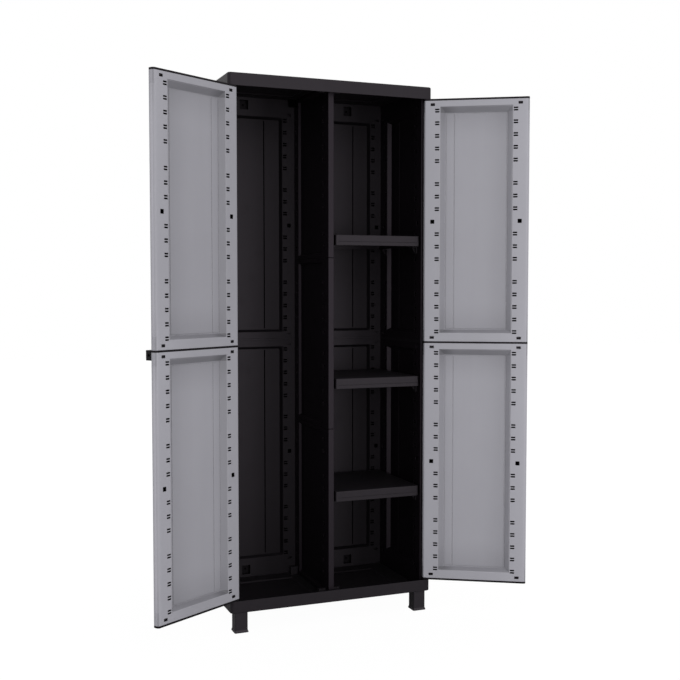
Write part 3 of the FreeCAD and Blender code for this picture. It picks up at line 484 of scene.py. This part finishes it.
# %% [markdown]
# ## Steel
# The hinge pins are plain zinc-bright steel, turned or rolled, so the light smears along fine rings. The
# screws that hold the feet are the same steel plated black, so that they don't shine on the cabinet's
# floor. Metallic stays at 1 on the shader's own socket, and only colour, roughness and bump vary.

# %% Steel, bright or black
def plated_steel(name, dark, light):
    finish = Finish(name)
    cloud = finish.noise(scale=180.0, detail=3.0, roughness=0.6)
    turning = finish.stretched((300.0, 300.0, 6000.0))
    rings = finish.noise(scale=1.0, detail=2.0, roughness=0.5, vector=turning)
    colour = finish.mix(finish.above(cloud, 0.35, 0.65), dark, light)
    roughness = (0.28 + 0.14 * rings).clamped()
    bump = finish.add("ShaderNodeBump", None, {"Strength": 0.2, "Distance": 0.05 * MM, "Height": rings})
    return finish.finish_with(finish.shader(colour, roughness, bump.outputs[0], {"Metallic": 1.0}))


bright_steel = plated_steel("bright_steel", dark=(0.42, 0.42, 0.43, 1), light=(0.58, 0.58, 0.59, 1))
black_steel = plated_steel("black_steel", dark=(0.028, 0.028, 0.031, 1), light=(0.042, 0.042, 0.045, 1))
print("steels:", bright_steel.name, black_steel.name)

# %% [markdown]
# ## Finishes on the CAD parts
# The CAD parts keep their shape and only change material. The record says which of them are grey resin,
# black resin or steel, and a part's name tells which variant of the black it takes. Reading both keeps
# this cell right when a part is added.

# %% Give every CAD part its finish
DOOR_TRIMS = ("_cap", "_strip", "_handle")
UPRIGHTS = ("left_wall", "right_wall", "divider")
UPRIGHT_SHELLS = ("inner_panel", "lower", "middle", "upper")
slot_of = {part["node"]: part["material_slot"] for part in frame["record"]["subparts"]}
other_finishes = {"grey_resin": grey_resin, "bright_steel": bright_steel, "black_steel": black_steel}


def finish_for(name):
    if slot_of[name] != "black_resin":
        return other_finishes[slot_of[name]]
    if "door" in name and name.endswith(DOOR_TRIMS):
        return trim_resin
    if name.startswith("back_") and name.endswith("inner_panel"):
        return back_resin
    if name.startswith(UPRIGHTS) and name.endswith(UPRIGHT_SHELLS):
        return side_resin
    if name.endswith("_foot"):
        return foot_resin
    return roof_resin if name == "roof_cap" else black_resin


for name, node in nodes.items():
    node.data.materials.clear()
    node.data.materials.append(finish_for(name))
print("finished", len(nodes), "CAD parts")

# %% [markdown]
# ## Pockets behind the slots
# Every stile of every panel has columns of slot pairs for clips and hooks, and behind each pair is a moulded
# pocket that holds a clip's prong and keeps the light out of the hollow panel. The pockets' near-black, matt resin
# is painted shade, so that the slots read dark. There are hundreds of them in a strict rhythm, three pairs, a gap
# and five pairs, which is work for Geometry Nodes: one pocket is modelled as a box with a cavity and instanced on
# lines of points. The tree's inputs are the sizes of the rhythm, so that it can be tried with others.

# %% A geometry tree that can be built like a finish
class GeometryTree(NodeTree):
    """A Geometry Nodes tree with named inputs."""

    def __init__(self, name):
        super().__init__(bpy.data.node_groups.new(name, "GeometryNodeTree"))
        self.tree.interface.new_socket("Geometry", in_out="OUTPUT", socket_type="NodeSocketGeometry")
        self.identifiers = {}

    def input(self, name, kind):
        item = self.tree.interface.new_socket(name, in_out="INPUT", socket_type=kind)
        self.identifiers[name] = item.identifier

    def vector(self, x=0.0, y=0.0, z=0.0):
        return self.add("ShaderNodeCombineXYZ", None, {0: x, 1: y, 2: z}).outputs[0]

    def box(self, x, y, z):
        """Box of this size around the origin."""
        return self.add("GeometryNodeMeshCube", None, {"Size": self.vector(x, y, z)}).outputs[0]

    def moved(self, geometry, offset):
        inputs = {"Geometry": geometry, "Translation": offset}
        return self.add("GeometryNodeTransform", None, inputs).outputs[0]

    def joined(self, *parts):
        node = self.add("GeometryNodeJoinGeometry")
        for part in parts:
            self.tree.links.new(part, node.inputs[0])
        return node.outputs[0]

    def run(self, name, values):
        """The tree's result as a plain mesh object."""
        holder = bpy.data.objects.new(name, bpy.data.meshes.new(name))
        bpy.context.scene.collection.objects.link(holder)
        modifier = holder.modifiers.new(name, "NODES")
        modifier.node_group = self.tree
        for key, value in values.items():
            modifier[self.identifiers[key]] = value
        evaluated = holder.evaluated_get(bpy.context.evaluated_depsgraph_get())
        mesh = bpy.data.meshes.new_from_object(evaluated)
        holder.modifiers.remove(modifier)
        holder.data = mesh
        return holder


# %% [markdown]
# A pocket is an open box behind the panel's face. A column is a line of points upwards with a pocket on
# each, the lower half of a panel is the upper half turned over, and a stile also has one square hole at
# mid height. Realize Instances makes them real faces, and Set Material paints them.

# %% One pocket, and one stile of pockets
def pocket_box(tree, size, width, height):
    """Open box behind the face y = 0: its cavity opens to +y."""
    walls = 2.0 * size["Pocket Wall"]
    depth = size["Pocket Depth"] + size["Pocket Wall"]
    outer = tree.box(width + walls, depth, height + walls)
    cavity = tree.box(width, 2.0 * size["Pocket Depth"], height)
    inputs = {"Mesh 1": tree.moved(outer, tree.vector(y=-0.5 * depth)), "Mesh 2": cavity}
    return tree.add("GeometryNodeMeshBoolean", {"operation": "DIFFERENCE"}, inputs).outputs[0]


def column(tree, size, pocket, count, start):
    """Line of pockets upwards from a height."""
    steps = {"Count": count, "Start Location": tree.vector(z=start), "Offset": tree.vector(z=size["Pitch"])}
    line = tree.add("GeometryNodeMeshLine", {"mode": "OFFSET"}, steps).outputs[0]
    return tree.add("GeometryNodeInstanceOnPoints", None, {"Points": line, "Instance": pocket}).outputs[0]


def stile(tree, size):
    """All the slot pockets of one stile, above and below the panel's middle."""
    pocket = pocket_box(tree, size, size["Slot Width"], size["Pair Height"])
    far_start = size["Near Rows"] * size["Pitch"] + size["Group Gap"]
    near = column(tree, size, pocket, size["Near Rows"], size["Pitch"])
    far = column(tree, size, pocket, size["Far Rows"], far_start)
    upper = tree.joined(near, far)
    turned = {"Geometry": upper, "Rotation": (0.0, math.pi, 0.0)}
    return tree.joined(upper, tree.add("GeometryNodeTransform", None, turned).outputs[0])


# %% The whole pocket tree
POCKET_SIZES = (
    "Slot Width", "Pair Height", "Pocket Depth", "Pocket Wall", "Pitch", "Group Gap",
    "Column Offset", "Square Side", "Square Offset",
)
ROW_COUNTS = ("Near Rows", "Far Rows")


def pocket_tree():
    tree = GeometryTree("slot_pockets")
    for name in POCKET_SIZES:
        tree.input(name, "NodeSocketFloat")
    for name in ROW_COUNTS:
        tree.input(name, "NodeSocketInt")
    tree.input("Finish", "NodeSocketMaterial")
    group = tree.add("NodeGroupInput").outputs
    size = {name: Value(tree, group[name]) for name in POCKET_SIZES + ROW_COUNTS}
    slots = stile(tree, size)
    square = pocket_box(tree, size, size["Square Side"], size["Square Side"])
    sides = []
    for sign in (-1.0, 1.0):
        sides.append(tree.moved(slots, tree.vector(x=sign * size["Column Offset"])))
        sides.append(tree.moved(square, tree.vector(x=sign * size["Square Offset"])))
    whole = tree.add("GeometryNodeRealizeInstances", None, {"Geometry": tree.joined(*sides)}).outputs[0]
    painted = tree.add("GeometryNodeSetMaterial", None, {"Geometry": whole, "Material": group["Finish"]})
    tree.add("NodeGroupOutput", None, {0: painted.outputs[0]})
    return tree


pockets = pocket_tree()
print("pocket tree nodes:", len(pockets.tree.nodes))

# %% [markdown]
# The same tree is run for each panel. A panel's own frame has its show face in the plane y = 0 and its
# outside towards -y, so one matrix per panel puts the pockets in their place: the walls are turned by
# quarter turns, and the doors are turned about their hinges like the CAD doors.

# %% Where each panel stands, and on which body
def panel_place(x, y, angle):
    return Matrix.Translation((x, y, 0)) @ Matrix.Rotation(angle, 4, "Z")


def turn_about(point, angle):
    return Matrix.Translation(point) @ Matrix.Rotation(angle, 4, "Z") @ Matrix.Translation(-point)


left_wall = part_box("left_wall_lower_inner_panel")
right_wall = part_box("right_wall_lower_inner_panel")
wall_middle = (left_wall[0].y + left_wall[1].y) / 2
wall_half = (left_wall[1].y - left_wall[0].y) / 2
door_half = DOOR_WIDTH / 2
panels = [
    ("cabinet", wall_half, panel_place(left_wall[1].x, wall_middle, -math.pi / 2)),
    ("cabinet", wall_half, panel_place(right_wall[0].x, wall_middle, math.pi / 2)),
]
for name in ("back_lower_left_inner_panel", "back_lower_right_inner_panel"):
    low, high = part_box(name)
    panels.append(("cabinet", (high.x - low.x) / 2, panel_place((low.x + high.x) / 2, low.y, math.pi)))
for body, side in (("left_door", -1), ("right_door", 1)):
    closed = panel_place(side * (DOOR_SIDE - door_half), DOOR_INNER_Y, 0.0)
    panels.append((body, door_half, turn_about(hinges[body], side * DOOR_ANGLE) @ closed))
print("panel columns:", len(panels), "each with", len(field_heights), "panels")

# %% [markdown]
# The pockets of one body become one piece, because they are moulded into its panels and never move on
# their own. Each stands 0.05 mm behind the panel's wall, so that no two faces lie in the same plane.

# %% Run the pocket tree on all the panels, one mesh for each body
SLOT_HEIGHT = 4.75 * MM
SLOT_PAIR_SPACING = 7.5 * MM
COLUMN_INSET = 43 * MM
SQUARE_INSET = 28.6 * MM
BEHIND = INNER_WALL + 0.05 * MM
pocket_sizes = {
    "Slot Width": 14 * MM, "Pair Height": SLOT_PAIR_SPACING + SLOT_HEIGHT, "Pocket Depth": 8 * MM,
    "Pocket Wall": 1.2 * MM, "Pitch": 40 * MM, "Group Gap": 73.1 * MM, "Square Side": 13 * MM,
    "Near Rows": 3, "Far Rows": 5, "Finish": pocket_resin,
}


def pockets_of(half_width, place):
    """Meshes of the pockets of one panel column, in place."""
    offsets = {"Column Offset": half_width - COLUMN_INSET, "Square Offset": half_width - SQUARE_INSET}
    holder = pockets.run("pockets", {**pocket_sizes, **offsets})
    meshes = []
    for height in field_heights:
        mesh = holder.data.copy()
        mesh.transform(place @ Matrix.Translation((0, -BEHIND, height)))
        meshes.append(mesh)
    bpy.data.objects.remove(holder)
    return meshes


def joined_into(name, meshes, body):
    """One object from several meshes that are already in place."""
    shape = bmesh.new()
    for mesh in meshes:
        shape.from_mesh(mesh)
    whole = bpy.data.meshes.new(name)
    shape.to_mesh(whole)
    shape.free()
    for material in meshes[0].materials:
        whole.materials.append(material)
    piece = bpy.data.objects.new(name, whole)
    bpy.context.scene.collection.objects.link(piece)
    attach(piece, body)
    return piece


pocket_meshes = {"cabinet": [], "left_door": [], "right_door": []}
for body, half_width, place in panels:
    pocket_meshes[body] += pockets_of(half_width, place)
for body, meshes in pocket_meshes.items():
    piece = joined_into(body + "_slot_pockets", meshes, body)
    print(piece.name, len(piece.data.polygons), "faces")

# %% [markdown]
# ## Studio
# The photograph was taken against plain white in very even light, and nothing but the cabinet is in it.
# Most of that light is the white room itself, so the world is nearly white as a lamp and in reflections,
# and pure white to the camera. The floor is a large plane whose paper is seen bright, with a faint shadow
# under the cabinet, but which throws back less light than it shows, because in the photograph hardly any
# light comes from below.

# %% Floor
FLOOR_HALF = 12.0
NEAR_FLOOR = 0.5
FAR_FLOOR = 2.2
SHADOW_SHARE = 0.07


def studio_floor():
    finish = Finish("studio_floor")
    cloud = finish.noise(scale=2.0, detail=2.0, roughness=0.5)
    colour = finish.mix(cloud, (0.44, 0.44, 0.44, 1), (0.46, 0.46, 0.46, 1))
    paper = finish.shader(colour, 1.0, None, {"Specular IOR Level": 0.0})
    glow = finish.add("ShaderNodeEmission", None, {"Color": (1, 1, 1, 1), "Strength": 1.05})
    seen = finish.value("ShaderNodeLightPath", "Is Camera Ray")
    distance = finish.value("ShaderNodeVectorMath", "Value", {"operation": "LENGTH"}, {0: finish.place()})
    far = finish.above(distance, NEAR_FLOOR, FAR_FLOOR)
    share = seen * (1.0 - SHADOW_SHARE * (1.0 - far))
    shader = finish.add("ShaderNodeMixShader", None, {0: share, 1: paper, 2: glow.outputs[0]})
    return finish.finish_with(shader.outputs[0])


floor_mesh = bpy.data.meshes.new("floor")
floor_corners = [(x * FLOOR_HALF, y * FLOOR_HALF, 0) for x, y in ((-1, -1), (1, -1), (1, 1), (-1, 1))]
floor_mesh.from_pydata(floor_corners, [], [(0, 1, 2, 3)])
floor_mesh.materials.append(studio_floor())
floor = bpy.data.objects.new("floor", floor_mesh)
bpy.context.scene.collection.objects.link(floor)
print("floor:", 2 * FLOOR_HALF, "m square")

# %% World
WORLD_AS_LAMP = 0.85
WORLD_IN_REFLECTIONS = 0.85
WORLD_TO_CAMERA = 1.0

world = bpy.data.worlds.new("studio")
world.use_nodes = True
bpy.context.scene.world = world
sky = NodeTree(world.node_tree)
rays = sky.add("ShaderNodeLightPath").outputs
camera_ray, clear_ray, glossy_ray = [
    Value(sky, rays[name]) for name in ("Is Camera Ray", "Is Transmission Ray", "Is Glossy Ray")
]
strength = WORLD_AS_LAMP + (WORLD_TO_CAMERA - WORLD_AS_LAMP) * (camera_ray + clear_ray)
strength = strength + (WORLD_IN_REFLECTIONS - WORLD_AS_LAMP) * glossy_ray
background = sky.add("ShaderNodeBackground", None, {"Color": (1, 1, 1, 1), "Strength": strength})
sky.add("ShaderNodeOutputWorld", None, {"Surface": background.outputs[0]})
print("world strength as a lamp:", WORLD_AS_LAMP)

# %% [markdown]
# Three soft boxes in front of the cabinet add what the room alone doesn't give: one on the camera's side
# at the height of the doors' middle, one to the right of it and one above. They are weak, because in the
# photograph the shelves and the divider's front edge are only a little lighter than the rest.

# %% Lamps
def soft_box(name, place, target_height, size, power):
    """Square area lamp that points at the cabinet's middle line."""
    lamp = bpy.data.lights.new(name, "AREA")
    lamp.shape = "SQUARE"
    lamp.size = size
    lamp.energy = power
    box = bpy.data.objects.new(name, lamp)
    box.location = place
    way = Vector((0, 0, target_height)) - Vector(place)
    box.rotation_euler = way.to_track_quat("-Z", "Y").to_euler()
    bpy.context.scene.collection.objects.link(box)


soft_box("camera_side_lamp", place=(-1.0, -4.6, 1.0), target_height=0.85, size=1.2, power=30)
soft_box("right_lamp", place=(1.8, -4.3, 0.8), target_height=0.75, size=1.2, power=24)
soft_box("high_lamp", place=(0.2, -4.0, 2.9), target_height=0.85, size=1.6, power=12)
print("lamps:", [lamp.name for lamp in bpy.data.lights])

# %% [markdown]
# ## Camera
# The camera was found by matching the cabinet's corners in the photograph: a 54.5 mm lens about 3.4 m
# away, at the height of a standing photographer's chest, a little to the left. The view transform is
# Standard, so that the colours set above are the colours that show.

# %% Camera
CAMERA_PLACE = (-1.1652, -3.1849, 1.0643)
CAMERA_YAW = math.radians(21.60)
CAMERA_PITCH = math.radians(-3.04)
CAMERA_SHIFT = 0.0007

camera_data = bpy.data.cameras.new("camera")
camera_data.lens = 54.5
camera_data.sensor_width = 36.0
camera_data.shift_x = -CAMERA_SHIFT
camera_data.shift_y = CAMERA_SHIFT
camera = bpy.data.objects.new("camera", camera_data)
bpy.context.scene.collection.objects.link(camera)
aim = Vector((
    math.sin(CAMERA_YAW) * math.cos(CAMERA_PITCH),
    math.cos(CAMERA_YAW) * math.cos(CAMERA_PITCH),
    math.sin(CAMERA_PITCH),
))
camera.location = CAMERA_PLACE
camera.rotation_euler = aim.to_track_quat("-Z", "Y").to_euler()
bpy.context.scene.camera = camera
bpy.context.scene.view_settings.view_transform = "Standard"
print("camera at", CAMERA_PLACE)
